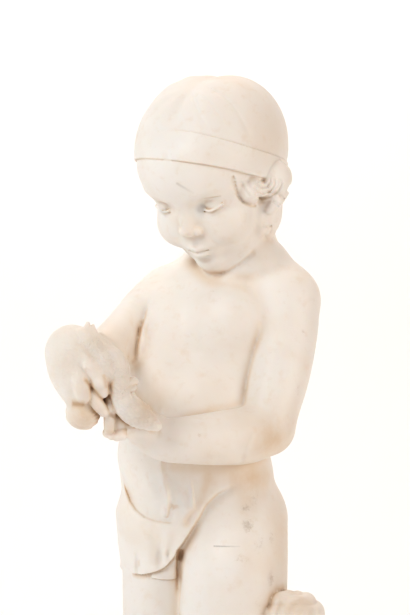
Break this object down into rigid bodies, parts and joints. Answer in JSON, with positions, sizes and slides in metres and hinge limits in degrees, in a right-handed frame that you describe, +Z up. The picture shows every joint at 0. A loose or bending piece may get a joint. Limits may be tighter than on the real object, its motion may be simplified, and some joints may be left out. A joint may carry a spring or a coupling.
{
  "type": "marble statue",
  "caption": "Standing marble child in a close cap, head bowed over a small bird held in both hands, cloth round the hips and a stump beside the leg, on a low round plinth.",
  "frame": {"origin": "middle of the plinth's flat underside", "axes": "+Z up along the standing figure; the statue's front, as pictured, faces -Y; +X is to the right of someone facing the statue"},
  "size_m": [0.33, 0.3811, 0.8959],
  "materials": {
    "marble": "honed, aged white marble with warm dust in the recesses"
  },
  "bodies": {
    "root": {"marble_statue": "marble"}
  },
  "joints": []
}
